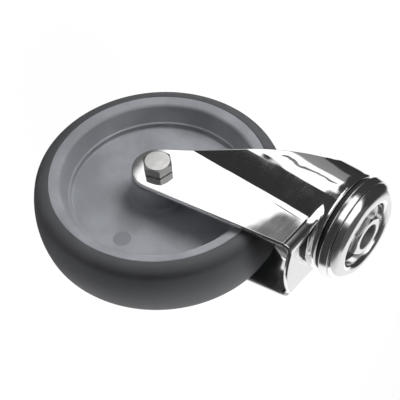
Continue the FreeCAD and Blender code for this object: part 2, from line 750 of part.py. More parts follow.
def fork_form(name, inset, edges_bend, edge, flare_bend):
    """One skin of the fork: legs, flares and crown with bent edges, and the round nose."""
    half = leg_outside - inset
    top = crown_top - inset
    radius = nose_radius - inset
    summit = nose_top - inset
    legs = primitive("Part::Extrusion", name + "_legs", LengthFwd=top - fork_low)
    legs.Base = plan_outline(name + "_plan", half, radius, flare_bend)
    bind(legs.Base, "Placement.Base.z", fork_low)
    legs.DirMode = "Normal"
    legs.Solid = True
    nose = primitive("Part::Cylinder", name + "_nose", Radius=radius, Height=summit - fork_low,
                     Placement__Base__z=fork_low)
    doc.recompute()

    def bends(item):
        middle = item.CenterOfMass
        return abs(middle.z - top.value) < 1e-6 and abs(middle.y) > half.value / 2

    def brim(item):
        return abs(item.CenterOfMass.z - summit.value) < 1e-6

    bent = fillet(name + "_bends", legs, even_edges(legs.Shape, bends, edges_bend.value))
    domed = fillet(name + "_brim", nose, even_edges(nose.Shape, brim, edge.value))
    return pair("Part::Fuse", name, bent, domed)


def side_profile():
    """The fork's outline from the side: two straight edges that run out of the round leg end."""
    sketch = doc.addObject("Sketcher::SketchObject", "fork_side")
    sketch.Placement = FreeCAD.Placement(V(), FreeCAD.Rotation(V(1, 0, 0), 90))
    radius = mm.leg_end_radius
    high = mm.nose_rise
    climb = high - axle_level
    front = mm.front_lean
    rear = mm.rear_lean
    front_low = (mm.swivel_offset - radius * cosine(front), axle_level - radius * sine(front))
    rear_low = (mm.swivel_offset + radius * cosine(rear), axle_level + radius * sine(rear))
    rear_high = (mm.swivel_offset + (radius - climb * sine(rear)) / cosine(rear), high)
    bend_x = flare_corner(leg_outside, nose_radius)
    bend_z = front_low[1] + (front_low[0] - bend_x) * cosine(front) / sine(front)
    rise = mm.front_rise_lean
    skirt = nose_top - mm.nose_height
    turn_x = bend_x - (skirt - bend_z) * sine(rise) / cosine(rise)
    turn_run = mm.front_turn * (1 - sine(rise)) / cosine(rise)
    foremost = -nose_radius - mm.sheet
    draw_outline(sketch,
                 [front_low, rear_low, rear_high, (foremost, high), (foremost, skirt),
                  (turn_x - turn_run, skirt),
                  (turn_x + turn_run * sine(rise), skirt - turn_run * cosine(rise)),
                  (bend_x, bend_z)],
                 {0: left(radius), 5: right(mm.front_turn)})
    return sketch


def make_fork():
    """The fork, pressed from one sheet: two skins, cut to the side outline, with the ball races."""
    outer = fork_form("fork_outside", as_dim(0), mm.crown_inside_bend + mm.sheet, mm.nose_edge,
                      mm.flare_bend)
    inner = fork_form("fork_inside", mm.sheet, mm.crown_inside_bend, mm.nose_edge_inside,
                      mm.flare_bend + mm.sheet)
    under_race = primitive("Part::Torus", "race_underside", Radius1=upper_pitch,
                           Radius2=swivel_race + mm.sheet, Placement__Base__z=upper_ball_level)
    hollow = pair("Part::Cut", "fork_hollow", inner, under_race)
    shell = pair("Part::Cut", "fork_shell", outer, hollow)

    side = primitive("Part::Extrusion", "fork_side_block", LengthFwd=nose_radius, LengthRev=nose_radius)
    side.Base = side_profile()
    side.DirMode = "Normal"
    side.Solid = True
    bend = mm.crown_inside_bend + mm.sheet
    flat_half = leg_outside - bend
    lean = mm.rear_lean
    corner = mm.swivel_offset + (mm.leg_end_radius - (crown_top - axle_level) * sine(lean)) / cosine(lean)
    tail_radius = root(corner * corner + flat_half * flat_half)
    tail = primitive("Part::Cylinder", "crown_tail", Radius=tail_radius, Height=mm.sheet * 2,
                     Placement__Base__z=crown_top - mm.sheet * 1.5)
    strip = primitive("Part::Box", "crown_strip", Length=fork_rear, Width=flat_half * 2,
                      Height=mm.sheet * 2, Placement__Base__y=-flat_half,
                      Placement__Base__z=crown_top - mm.sheet * 1.5)
    doc.recompute()
    crown = pair("Part::Common", "crown_edge", tail, strip)
    blank = pair("Part::Fuse", "fork_blank", side, crown)
    trimmed = pair("Part::Common", "fork_trimmed", shell, blank)

    upper_race = primitive("Part::Torus", "upper_race_cut", Radius1=upper_pitch, Radius2=swivel_race,
                           Placement__Base__z=upper_ball_level)
    lower_race = primitive("Part::Torus", "lower_race_cut", Radius1=lower_pitch, Radius2=swivel_race,
                           Placement__Base__z=lower_ball_level)
    king_hole = primitive("Part::Cylinder", "king_hole_cut", Radius=mm.king_hole_diameter / 2,
                          Height=mm.sheet * 3, Placement__Base__z=nose_top - mm.sheet * 2)
    axle_hole = primitive("Part::Cylinder", "axle_hole_cut", Radius=bolt_radius + mm.fork_hole_play,
                          Height=leg_outside * 3)
    axle_hole.Placement = FreeCAD.Placement(V(), FreeCAD.Rotation(V(1, 0, 0), 90))
    bind(axle_hole, "Placement.Base.x", mm.swivel_offset)
    bind(axle_hole, "Placement.Base.y", leg_outside * 1.5)
    bind(axle_hole, "Placement.Base.z", axle_level)
    fork = trimmed
    for number, cut in enumerate((upper_race, lower_race, king_hole, axle_hole)):
        doc.recompute()
        fork = pair("Part::Cut", "fork_cut_%d" % number, fork, cut)
    fork.Label = "fork"
    return fork


def check(pieces):
    doc.recompute()
    for thing in doc.Objects:
        faults = {"Invalid", "Error"} & set(thing.State)
        if faults:
            raise RuntimeError("%s is %s" % (thing.Label, ", ".join(faults)))
    for piece in pieces:
        if piece.Shape.isNull() or not piece.Shape.isValid():
            raise RuntimeError("%s has no valid shape" % piece.Label)


def main():
    pieces = make_tread_and_centre()
    pieces += make_bearing("near", bearing_middle)
    pieces += make_bearing("far", -bearing_middle)
    pieces += make_axle()
    pieces += make_swivel_head()
    pieces.append(make_fork())
    check(pieces)
    os.makedirs("parts", exist_ok=True)
    for piece in pieces:
        piece.Shape.exportStep("parts/%s.step" % piece.Label)
        print("%-28s %2d solid(s) %10.1f mm3" % (piece.Label, len(piece.Shape.Solids), piece.Shape.Volume))


main()
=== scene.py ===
"""A swivel caster with a bolt hole, dressed for a studio picture.

The solids come from the frame. The pieces made here stand for those that show, with rounded edges,
and every piece gets its finish. Lengths are in metres, unless size() gives them in millimetres.
"""
import json
import math

import bmesh
import bpy
from bpy.props import FloatProperty, FloatVectorProperty, IntProperty, PointerProperty
from mathutils import Matrix, Vector


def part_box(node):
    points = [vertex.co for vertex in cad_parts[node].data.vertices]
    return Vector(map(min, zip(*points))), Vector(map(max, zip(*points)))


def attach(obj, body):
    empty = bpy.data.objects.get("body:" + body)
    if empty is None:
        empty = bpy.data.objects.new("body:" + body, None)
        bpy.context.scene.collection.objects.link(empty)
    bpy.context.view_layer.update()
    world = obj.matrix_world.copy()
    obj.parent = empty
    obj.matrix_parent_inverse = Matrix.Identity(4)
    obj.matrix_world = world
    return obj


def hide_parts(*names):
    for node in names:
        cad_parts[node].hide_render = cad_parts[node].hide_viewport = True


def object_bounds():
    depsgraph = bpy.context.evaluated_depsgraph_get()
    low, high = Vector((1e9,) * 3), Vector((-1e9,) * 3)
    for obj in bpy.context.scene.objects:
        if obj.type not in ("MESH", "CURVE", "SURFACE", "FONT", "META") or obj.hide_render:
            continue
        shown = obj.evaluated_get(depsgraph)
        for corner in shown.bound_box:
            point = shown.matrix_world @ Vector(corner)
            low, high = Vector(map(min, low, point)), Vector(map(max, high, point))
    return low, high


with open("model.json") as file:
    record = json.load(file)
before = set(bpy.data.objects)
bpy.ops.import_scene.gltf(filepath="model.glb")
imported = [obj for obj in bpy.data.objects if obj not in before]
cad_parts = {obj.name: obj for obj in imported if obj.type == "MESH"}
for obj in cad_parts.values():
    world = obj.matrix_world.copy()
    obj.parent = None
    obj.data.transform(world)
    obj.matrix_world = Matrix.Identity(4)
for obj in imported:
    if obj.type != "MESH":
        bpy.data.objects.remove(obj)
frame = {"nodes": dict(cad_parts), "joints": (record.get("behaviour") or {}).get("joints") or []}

bl_info = {
    "name": "Swivel caster",
    "version": (1, 0, 0),
    "blender": (4, 5, 0),
    "location": "3D View > Sidebar > Caster",
    "description": "Builds the pieces of a swivel caster over its solids",
    "category": "Object",
}

CAD_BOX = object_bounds()
FLOOR_LEVEL = CAD_BOX[0].z
JOINTS = {joint["name"]: joint for joint in frame["joints"]}
WHEEL_MIDDLE = Vector(JOINTS["wheel_spin"]["pos_m"])
AXLE = Matrix.Translation(WHEEL_MIDDLE) @ Matrix.Rotation(math.radians(90), 4, "X")
FULL_TURN = 2 * math.pi
SIDES = ("near", "far")
NARROW = 1e-5
FLAT_DEGREES = 0.02
CREASE_DEGREES = 35
HEXAGON_DEGREES = 25


def size(name, description, millimetres):
    """A length that the sidebar shows in the scene's unit."""
    return FloatProperty(name=name, description=description, default=millimetres / 1000,
                         min=0.0, subtype="DISTANCE", unit="LENGTH", precision=5)


def angle(name, description, degrees):
    return FloatProperty(name=name, description=description, default=math.radians(degrees),
                         subtype="ANGLE", unit="ROTATION")


def colour(name, description, red, green, blue):
    return FloatVectorProperty(name=name, description=description, default=(red, green, blue),
                               min=0.0, max=1.0, size=3, subtype="COLOR")


def share(name, description, default):
    return FloatProperty(name=name, description=description, default=default, min=0.0, max=1.0,
                         subtype="FACTOR")


def power(name, description, watts):
    return FloatProperty(name=name, description=description, default=watts, min=0.0, unit="POWER")


def steps_round(description, number):
    return IntProperty(name="Segments", description=description, default=number, min=24, max=360)


class CasterWheelSizes(bpy.types.PropertyGroup):
    """Sizes of the wheel."""

    radius: size("Radius", "Wheel over the tread", 62.5)
    half_width: size("Half width", "Middle of the wheel to the side of the tread", 16.0)
    crown_radius: size("Crown", "Crowning of the running surface across the wheel", 45.0)
    shoulder: size("Shoulder", "Rounding between running surface and side", 6.8)
    rim: size("Rim", "Radius at which tread and rim meet", 53.8)
    flange: size("Flange", "Groove's edge in the rim from the middle", 12.5)
    groove: size("Groove", "Radius of the groove's floor, which anchors the tread", 50.3)
    groove_draft: size("Groove draft", "Slope on the flanks of groove and rib", 1.0)
    rib: size("Rib", "Radius of the rib in the groove", 52.1)
    rib_half: size("Rib half", "Middle of the wheel to the rib's side", 3.5)
    face: size("Face", "Radius of the inner edge of the flat ring", 48.6)
    face_level: size("Face level", "Inner edge of the flat ring from the middle", 14.8)
    face_round: size("Face rounding", "Rounding of the flat ring's inner edge", 1.2)
    wall: size("Wall", "Radius at the foot of the steep wall", 45.2)
    wall_level: size("Wall level", "Foot of the steep wall from the middle", 5.9)
    ledge: size("Ledge", "Radius of the ledge's inner edge", 44.3)
    ledge_level: size("Ledge level", "Ledge's inner edge from the middle", 5.8)
    web: size("Web", "Radius of the disc", 44.0)
    web_level: size("Web level", "Disc's outer edge from the middle", 3.0)
    web_fillet: size("Web fillet", "Fillet between disc and low wall", 1.2)
    hub_fillet: size("Hub fillet", "Fillet between disc and hub", 3.0)
    hub: size("Hub", "Radius of the hub", 13.3)
    hub_root: size("Hub root", "Disc at the hub from the middle", 3.6)
    hub_level: size("Hub level", "Hub's face from the middle", 16.5)
    seat: size("Seat", "Radius of the bearing seat", 11.0)
    seat_level: size("Seat level", "Bottom of the bearing seat from the middle", 9.0)
    bore: size("Bore", "Radius of the bore between the bearings", 10.0)
    mark: size("Moulding mark", "Radius of the round mark on the disc", 4.5)
    mark_behind: size("Mark behind", "Round mark behind the axle", 34.1)
    mark_above: size("Mark above", "Round mark above the axle", 5.4)
    segments: steps_round("Steps round the wheel", 192)


class CasterHeadSizes(bpy.types.PropertyGroup):
    """Sizes of the swivel head."""

    cap_edge: size("Cap edge", "Radius of the cap's edge", 26.3)
    cap_drop: size("Cap drop", "Edge of the cap below its crest", 5.0)
    cap_crest: size("Cap crest", "Radius of the crest", 20.0)
    recess: size("Recess", "Radius of the recess", 16.7)
    recess_depth: size("Recess depth", "Floor of the recess below the crest", 6.0)
    sheet: size("Cap sheet", "Thickness of the cap", 1.5)
    sleeve: size("Sleeve", "Radius of the sleeve that fills the cap's hole", 8.5)
    ring_low: size("Ring low", "Radius of the race ring at its lower edge", 27.4)
    ring_high: size("Ring high", "Radius of the race ring at its upper edge", 26.5)
    ring_top: size("Ring top", "Upper edge of the race ring below the crest", 5.5)
    ring_bottom: size("Ring bottom", "Lower edge of the race ring below the crest", 9.8)
    ring_band: size("Ring band", "Band of the race ring, across", 2.2)
    plate_top: size("Plate top", "Top of the race ring's plate below the crest", 7.5)
    plate_under: size("Plate underside", "Underside of the plate below the crest", 9.5)
    race: size("Race", "Radius of the ball groove", 2.65)
    pitch: size("Pitch", "Radius of the circle of balls", 19.5)
    race_level: size("Race level", "Centres of the balls below the crest", 11.15)
    seal_inside: size("Seal", "Inner radius of the dust seal", 22.6)
    seal_bottom: size("Seal lip", "Lip of the seal below the crest", 12.2)
    segments: steps_round("Steps round the head", 192)


class CasterBoltSizes(bpy.types.PropertyGroup):
    """Sizes of the axle bolt."""

    flats: size("Flats", "Across the flats of the head", 13.0)
    head: size("Head", "Height of the head", 5.3)
    turn: angle("Turn", "Corner of the head from the upright", 41.0)
    face: size("Face", "Radius of the round face on the head", 6.15)
    slope: angle("Slope", "Slope of the turned corners", 30.0)
    washer: size("Washer face", "Radius of the round face under the head", 5.9)
    washer_height: size("Washer height", "Height of the face under the head", 0.45)
    shank: size("Shank", "Radius of the shank", 3.95)
    tip: size("Tip", "Chamfer at the end of the shank", 0.8)
    segments: steps_round("Steps round the bolt", 96)


class CasterEdgeSizes(bpy.types.PropertyGroup):
    """Rounding of the edges."""

    sheet: size("Sheet edges", "Rounding of the fork's cut edges", 0.55)
    turned: size("Turned edges", "Rounding of the cap's and ring's edges", 0.25)
    pressed: size("Pressed edges", "Rounding of recess and ring, and bevel of the seal", 0.75)
    bolt: size("Bolt edges", "Rounding of the hexagons", 0.22)
    moulded: size("Moulded edges", "Rounding of the hub's edges", 0.5)
    ledge: size("Ledge edges", "Rounding of the ledge's two corners", 0.4)
    tread_lip: size("Tread lip", "Rounding where the tread meets the rim", 0.3)


class CasterFinish(bpy.types.PropertyGroup):
    """Colours and gloss."""

    tread: colour("Tread", "Soft tread", 0.086, 0.088, 0.094)
    wheel: colour("Wheel", "Moulded wheel centre", 0.30, 0.31, 0.335)
    polished: colour("Polished steel", "Fork, cap and race ring", 0.95, 0.95, 0.95)
    bolt: colour("Bolt steel", "Bolt, nut and spacers", 0.74, 0.735, 0.725)
    bearing: colour("Bearing steel", "Balls and races", 0.68, 0.68, 0.68)
    seal: colour("Seal", "Dust seal", 0.02, 0.02, 0.021)
    insert: colour("Insert", "Locking ring of the nut", 0.7, 0.71, 0.7)
    cage: colour("Cage", "Ball cages", 0.42, 0.36, 0.22)
    polish: share("Polish", "Roughness of the polished fork", 0.05)
    turned: share("Turned", "Roughness of the polished cap, ring and sleeve", 0.13)


class CasterStage(bpy.types.PropertyGroup):
    """Camera, floor and light."""

    lens: FloatProperty(name="Lens", description="Focal length", default=97.4, min=10.0,
                        unit="CAMERA")
    camera_place: FloatVectorProperty(name="Camera", description="Place of the camera", size=3,
                                      default=(0.2910, -0.4051, 0.1557), subtype="TRANSLATION",
                                      unit="LENGTH")
    key_power: power("Key", "Power of the light in front", 4.5)
    back_power: power("Back", "Power of the light behind", 5.0)
    top_power: power("Top", "Power of the light above", 4.0)
    lamp: size("Lamp", "Across a lamp", 450.0)
    ambient: share("Ambient", "Strength of the surrounding light", 0.02)
    ceiling: share("Ceiling", "Tone of the ceiling that the polished steel mirrors", 0.09)
    patch: share("Patch", "Tone of the small patch on the floor that the leg mirrors", 0.14)
    under: share("Under", "Tone of the floor under the caster that the leg mirrors", 0.12)
    ring_distance: size("Ring distance", "Rings of tones from the swivel axis", 450.0)
    floor: colour("Floor", "Pale floor", 0.82, 0.82, 0.82)


# What the polished steel mirrors: rings of (degrees from -Y towards -X, tone), the first behind.
FLOOR_TONES = ((180, 0.5), (-165, 0.9), (-135, 0.9), (-125, 0.1), (-62, 0.06), (-48, 0.7),
               (-30, 0.7), (-14, 0.03), (-0.8, 0.03), (0.4, 1.25), (39, 1.25), (41.5, 0.28),
               (68, 0.22), (72, 0.04), (112, 0.03), (118, 1.0))
VERGE_TONES = ((180, 1.0), (-147, 1.0), (-139, 0.04), (108, 0.035), (116, 1.0))
FOOT_TONES = ((180, 1.0), (-147, 1.0), (-139, 0.04), (-1, 0.04), (3, 0.8), (12, 0.8), (16, 0.04),
              (108, 0.035), (116, 1.0))
LOW_TONES = ((180, 1.25), (-147, 1.25), (-139, 0.05), (-42, 0.03), (-36, 0.2), (-31, 1.25),
             (20, 1.25), (26, 0.2), (32, 0.04), (108, 0.035), (116, 1.25))
HIGH_TONES = ((180, 0.85), (-140, 0.6), (-124, 0.14), (-100, 0.05), (-42, 0.05), (-36, 0.25),
              (-30, 1.25), (20, 1.25), (27, 0.15), (35, 0.04), (108, 0.04), (118, 0.5), (128, 0.85))
FLOOR_EDGE = 0.405
LOW_TOP = 0.1
HIGH_TOP = 0.75
RING_STEPS = 96

# A dull patch on the floor, and the shade under the caster: place, reach and soft edge.
PATCH_PLACE = (-0.143, -0.300)
PATCH_REACH = (0.05, 0.016)
PATCH_DEGREES = 41.0
PATCH_EDGE = (0.65, 1.2)
UNDER_EDGE = (0.094, 0.116)

# Floor, lamps and camera
FLOOR_REACH = 6.0
FLOOR_ROUGHNESS = 0.9
FLOOR_GLOW = 1.03
FLOOR_GLOW_SHARE = 0.95
LAMPS = (("key_light", "key_power", (-0.327, -0.594, 0.027)),
         ("back_light", "back_power", (0.372, 0.593, 0.076)),
         ("top_light", "top_power", (-0.17, 0.348, 0.503)))
LAMP_AIM = Vector((0.03, 0, -0.07))
SENSOR_MILLIMETRES = 36.0
NEAREST_SEEN = 0.01
CAMERA_RIGHT = Vector((-0.63765, 0.03536, 0.76946))
CAMERA_UP = Vector((-0.59819, -0.65207, -0.46576))

# Moulded finish: gloss, scuffs, cloudiness of the roughness, and the soft edge of a round mark
MOULDED_GLOSS = 0.4
GRAIN_STRENGTH = 0.5
SCUFF_SHARE = 0.25
SCUFF_TINT = 1.5
SMOOTHER, ROUGHER = 0.05, 0.07
MARK_TINT = 0.74
MARK_EDGE = 0.93

# Polished finish: tint of the haze, and tint and roughness of dull flanks and bore, where the
# flanks' darker tint is painted shade
HAZE_TINT = 0.975
DULL_AND_SHADED_TINT = 0.56
DULL_FLANK = 0.2
DULL_BORE = 0.5
DULL_BORE_RADIUS = 0.0069
DULL_EDGE = 1e-4

# Swell of the fork's nose: where it fades out along X, and the noise that it follows
NOSE_EDGE = (0.005, 0.0085)
SWELL_PLACE = (0.05, 0.0, 0.02)
SWELL_SCALE = 60.0

# The fork's cut edges are sharper than CUT_DEGREES, and lie outside the seat of the ball races.
CUT_DEGREES = 70
SEAT_REACH = 0.0285
SEAT_FOOT = -0.0185

# Blank of a hexagon before its flats are cut: radius as a share of the width across the flats
BLANK_SHARE = 0.6

GROUPS = {
    "caster_wheel": CasterWheelSizes,
    "caster_head": CasterHeadSizes,
    "caster_bolt": CasterBoltSizes,
    "caster_edges": CasterEdgeSizes,
    "caster_finish": CasterFinish,
    "caster_stage": CasterStage,
}


def start(mesh, across, up):
    """First corner of a profile in the plane of the turning axis."""
    return mesh.verts.new((across, 0, up))


def straight(mesh, corner, across, up):
    """Draws a straight side from a corner and returns the next one."""
    following = mesh.verts.new((across, 0, up))
    mesh.edges.new((corner, following))
    return following


def polyline(mesh, corner, *places):
    for across, up in places:
        corner = straight(mesh, corner, across, up)
    return corner


def bend(mesh, corner, middle, degrees, steps):
    """Draws an arc from a corner about a middle point, clockwise for positive angles."""
    made = bmesh.ops.spin(mesh, geom=[corner], cent=(middle[0], 0, middle[1]), axis=(0, 1, 0),
                          angle=math.radians(degrees), steps=steps, use_duplicate=False)
    return next(item for item in made["geom_last"] if isinstance(item, bmesh.types.BMVert))


def close(mesh, corner, first):
    mesh.edges.new((corner, first))


def turn_round(mesh, segments):
    """Turns the drawn profile into a closed ring about Z, with its faces outwards."""
    bmesh.ops.spin(mesh, geom=mesh.verts[:] + mesh.edges[:], cent=(0, 0, 0), axis=(0, 0, 1),
                   angle=FULL_TURN, steps=segments, use_merge=True)
    bmesh.ops.remove_doubles(mesh, verts=mesh.verts, dist=NARROW)
    bmesh.ops.recalc_face_normals(mesh, faces=mesh.faces)


def ring_edges(mesh, places):
    """Edges that run round the axis at the given (radius, level) places."""
    found = []
    for edge in mesh.edges:
        levels = [corner.co.z for corner in edge.verts]
        radii = [corner.co.xy.length for corner in edge.verts]
        for across, up in places:
            off = [abs(level - up) for level in levels]
            off += [abs(radius - across) for radius in radii]
            if max(off) < NARROW:
                found.append(edge)
    return found


def sharp_edges(mesh, degrees):
    limit = math.radians(degrees)
    return [edge for edge in mesh.edges
            if edge.is_manifold and edge.calc_face_angle() > limit]


def cut_edges(mesh):
    """Cut edges of the fork's sheet, without the steps of its ball races under the head."""
    found = []
    for edge in sharp_edges(mesh, CUT_DEGREES):
        middle = (edge.verts[0].co + edge.verts[1].co) / 2
        if middle.z < SEAT_FOOT or middle.xy.length > SEAT_REACH:
            found.append(edge)
    return found


def soften(mesh, edges, radius, segments, clamp=True):
    bmesh.ops.bevel(mesh, geom=edges, offset=radius, offset_type="OFFSET", affect="EDGES",
                    segments=segments, profile=0.5, material=-1, clamp_overlap=clamp)


def both_sides(across, up):
    return [(across, up), (across, -up)]


def mirrored(places):
    """The same places on the other side of the middle, in return order."""
    return [(across, -up) for across, up in reversed(places)]


def anchor_places(wheel):
    """Where tread and rim hook into each other, from the side of the wheel to its middle."""
    return [(wheel.rim, wheel.half_width), (wheel.rim, wheel.flange),
            (wheel.groove, wheel.flange - wheel.groove_draft),
            (wheel.groove, wheel.rib_half + wheel.groove_draft), (wheel.rib, wheel.rib_half)]


def new_object(name, mesh, material):
    """Puts a finished mesh into the scene as an object with one material."""
    data = bpy.data.meshes.new(name)
    mesh.to_mesh(data)
    mesh.free()
    data.materials.append(material)
    made = bpy.data.objects.new(name, data)
    bpy.context.scene.collection.objects.link(made)
    return made


def add_piece(name, mesh, body, material, nodes):
    """Makes an object of the mesh, in the solids' place, that moves with their body."""
    piece = new_object(name, mesh, material)
    piece.data.shade_smooth()
    piece.data.set_sharp_from_angle(angle=math.radians(CREASE_DEGREES))
    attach(piece, body)
    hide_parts(*nodes)
    return piece


def weigh_normals(piece):
    """Lets the large flat faces set the shading, so that a mirror finish stays even."""
    weighted = piece.modifiers.new("even_shading", "WEIGHTED_NORMAL")
    weighted.mode = "FACE_AREA_WITH_ANGLE"
    weighted.keep_sharp = True


def copy_of(node):
    """The solid's own mesh, with its loose triangles joined and its flat faces made whole."""
    mesh = bmesh.new()
    mesh.from_mesh(frame["nodes"][node].data)
    bmesh.ops.remove_doubles(mesh, verts=mesh.verts, dist=NARROW / 10)
    bmesh.ops.dissolve_limit(mesh, angle_limit=math.radians(FLAT_DEGREES), verts=mesh.verts,
                             edges=mesh.edges, use_dissolve_boundaries=False, delimit=set())
    return mesh


def paint(node, material):
    """Gives a solid that stays in view its finish."""
    slots = frame["nodes"][node].data.materials
    slots.clear()
    slots.append(material)


def add_node(tree, kind, **inputs):
    """Adds a shader node; a key names an input socket, and a socket as value is linked to it."""
    made = tree.nodes.new(kind)
    connect(tree, made, **inputs)
    return made


def connect(tree, made, **inputs):
    for key, value in inputs.items():
        feed(tree, made.inputs[key.replace("_", " ")], value)


def feed(tree, socket, value):
    """Links a socket to the input, or sets the input to a value."""
    if isinstance(value, bpy.types.NodeSocket):
        tree.links.new(value, socket)
    else:
        socket.default_value = value


def arithmetic(tree, operation, *values):
    made = tree.nodes.new("ShaderNodeMath")
    made.operation = operation
    for socket, value in zip(made.inputs, values):
        feed(tree, socket, value)
    return made.outputs[0]


def vector_arithmetic(tree, operation, *values):
    made = tree.nodes.new("ShaderNodeVectorMath")
    made.operation = operation
    for socket, value in zip(made.inputs, values):
        feed(tree, socket, value)
    return made.outputs


def spread(tree, value, low, high, bottom=0.0, top=1.0):
    """Carries a value from one range to another."""
    made = add_node(tree, "ShaderNodeMapRange", Value=value, From_Min=low, From_Max=high,
                    To_Min=bottom, To_Max=top)
    made.interpolation_type = "SMOOTHSTEP"
    return made.outputs["Result"]


def blend_colours(tree, mask, first, second):
    made = tree.nodes.new("ShaderNodeMix")
    made.data_type = "RGBA"
    tree.links.new(mask, made.inputs["Factor"])
    for key, value in (("A", first), ("B", second)):
        plain = not isinstance(value, bpy.types.NodeSocket)
        feed(tree, made.inputs[key], (*value, 1.0) if plain else value)
    return made.outputs["Result"]


def grey(tone):
    return (tone, tone, tone)


def tinted(base, factor):
    return tuple(min(channel * factor, 1.0) for channel in base)


def new_group(name, inputs, outputs):
    """An empty shader node group with number inputs, a place input and the given outputs."""
    tree = bpy.data.node_groups.new(name, "ShaderNodeTree")
    tree.interface.new_socket("Place", in_out="INPUT", socket_type="NodeSocketVector")
    for label, default in inputs:
        socket = tree.interface.new_socket(label, in_out="INPUT", socket_type="NodeSocketFloat")
        socket.default_value = default
    for label in outputs:
        tree.interface.new_socket(label, in_out="OUTPUT", socket_type="NodeSocketFloat")
    return tree, tree.nodes.new("NodeGroupInput"), tree.nodes.new("NodeGroupOutput")


def noise(tree, place, scale, detail, roughness):
    made = add_node(tree, "ShaderNodeTexNoise", Vector=place, Scale=scale, Detail=detail,
                    Roughness=roughness)
    return made.outputs["Fac"]


def moulding_grain():
    """Fine skin of a moulded surface, with slow cloudiness and a few scuffs."""
    tree = bpy.data.node_groups.get("moulding_grain")
    if tree:
        return tree
    tree, given, result = new_group("moulding_grain", (("Grain", 2500.0), ("Clouds", 45.0)),
                                    ("Height", "Cloud", "Scuff"))
    place = given.outputs["Place"]
    fine = noise(tree, place, scale=given.outputs["Grain"], detail=3.0, roughness=0.6)
    slow = noise(tree, place, scale=given.outputs["Clouds"], detail=4.0, roughness=0.55)
    marks = noise(tree, place, scale=190.0, detail=6.0, roughness=0.7)
    connect(tree, result, Height=fine, Cloud=spread(tree, slow, low=0.35, high=0.65),
            Scuff=spread(tree, marks, low=0.62, high=0.74))
    return tree


def polish_haze():
    """What the polishing wheel leaves: a slow wave in the sheet, haze, and fine hair lines."""
    tree = bpy.data.node_groups.get("polish_haze")
    if tree:
        return tree
    tree, given, result = new_group("polish_haze", (("Wave", 38.0), ("Lines", 900.0)),
                                    ("Height", "Haze", "Hair"))
    place = given.outputs["Place"]
    slow = noise(tree, place, scale=given.outputs["Wave"], detail=1.0, roughness=0.4)
    haze = noise(tree, place, scale=120.0, detail=5.0, roughness=0.6)
    drawn = add_node(tree, "ShaderNodeMapping", Vector=place, Scale=(0.06, 0.06, 1.0))
    hair = noise(tree, drawn.outputs["Vector"], scale=given.outputs["Lines"], detail=4.0,
                 roughness=0.65)
    connect(tree, result, Height=slow, Haze=spread(tree, haze, low=0.4, high=0.7),
            Hair=spread(tree, hair, low=0.45, high=0.75))
    return tree


def new_material(name):
    """A material with its Principled shader and the object's own coordinates."""
    material = bpy.data.materials.get(name)
    if material:
        return material, None, None, None
    material = bpy.data.materials.new(name)
    material.use_nodes = True
    tree = material.node_tree
    place = tree.nodes.new("ShaderNodeTexCoord").outputs["Object"]
    return material, tree, tree.nodes["Principled BSDF"], place


def use_group(tree, group, place, **inputs):
    made = tree.nodes.new("ShaderNodeGroup")
    made.node_tree = group
    connect(tree, made, Place=place, **inputs)
    return made.outputs


def add_bump(tree, shader, height, strength, depth):
    """Adds a bump on top of those that the shader has."""
    bump = add_node(tree, "ShaderNodeBump", Height=height, Strength=strength, Distance=depth)
    normal = shader.inputs["Normal"]
    if normal.is_linked:
        tree.links.new(normal.links[0].from_socket, bump.inputs["Normal"])
    tree.links.new(bump.outputs["Normal"], normal)


def round_mark(tree, place, middle, radius):
    """One inside a round mark and nought outside it."""
    away = vector_arithmetic(tree, "DISTANCE", place, middle)["Value"]
    return spread(tree, away, radius * MARK_EDGE, radius, 1.0, 0.0)


def moulded(name, base, rough, grain, grain_depth, contrast, marks=()):
    """A moulded plastic or rubber, cloudy in colour and gloss, with the mould's round marks."""
    material, tree, shader, place = new_material(name)
    if tree is None:
        return material
    skin = use_group(tree, moulding_grain(), place, Grain=grain)
    tone = blend_colours(tree, skin["Cloud"], tinted(base, 1 - contrast),
                         tinted(base, 1 + contrast))
    scuffs = arithmetic(tree, "MULTIPLY", skin["Scuff"], SCUFF_SHARE)
    tone = blend_colours(tree, scuffs, tone, tinted(base, SCUFF_TINT))
    for middle, radius in marks:
        mask = round_mark(tree, place, middle, radius)
        tone = blend_colours(tree, mask, tone, tinted(base, MARK_TINT))
    gloss = spread(tree, skin["Cloud"], 0.0, 1.0, rough - SMOOTHER, rough + ROUGHER)
    connect(tree, shader, Base_Color=tone, Roughness=gloss, Specular_IOR_Level=MOULDED_GLOSS)
    add_bump(tree, shader, skin["Height"], GRAIN_STRENGTH, grain_depth)
    return material


def drawn_swell(tree, place):
    """Uneven swell that deep drawing leaves on the round nose, and nothing on the legs."""
    along = add_node(tree, "ShaderNodeSeparateXYZ", Vector=place).outputs["X"]
    nose = spread(tree, along, *NOSE_EDGE, 1.0, 0.0)
    moved = add_node(tree, "ShaderNodeMapping", Vector=place, Location=SWELL_PLACE)
    slow = noise(tree, moved.outputs["Vector"], scale=SWELL_SCALE, detail=1.0, roughness=0.4)
    return arithmetic(tree, "MULTIPLY", nose, arithmetic(tree, "SUBTRACT", slow, 0.5))


def beyond(tree, place, middle, plane, radius):
    """Nought near a line through the middle, square to the plane, and one beyond the radius."""
    shift = -Vector(middle) * Vector(plane)
    flat = vector_arithmetic(tree, "MULTIPLY_ADD", place, plane, shift)["Vector"]
    across = vector_arithmetic(tree, "LENGTH", flat)["Value"]
    return spread(tree, across, radius, radius + DULL_EDGE)


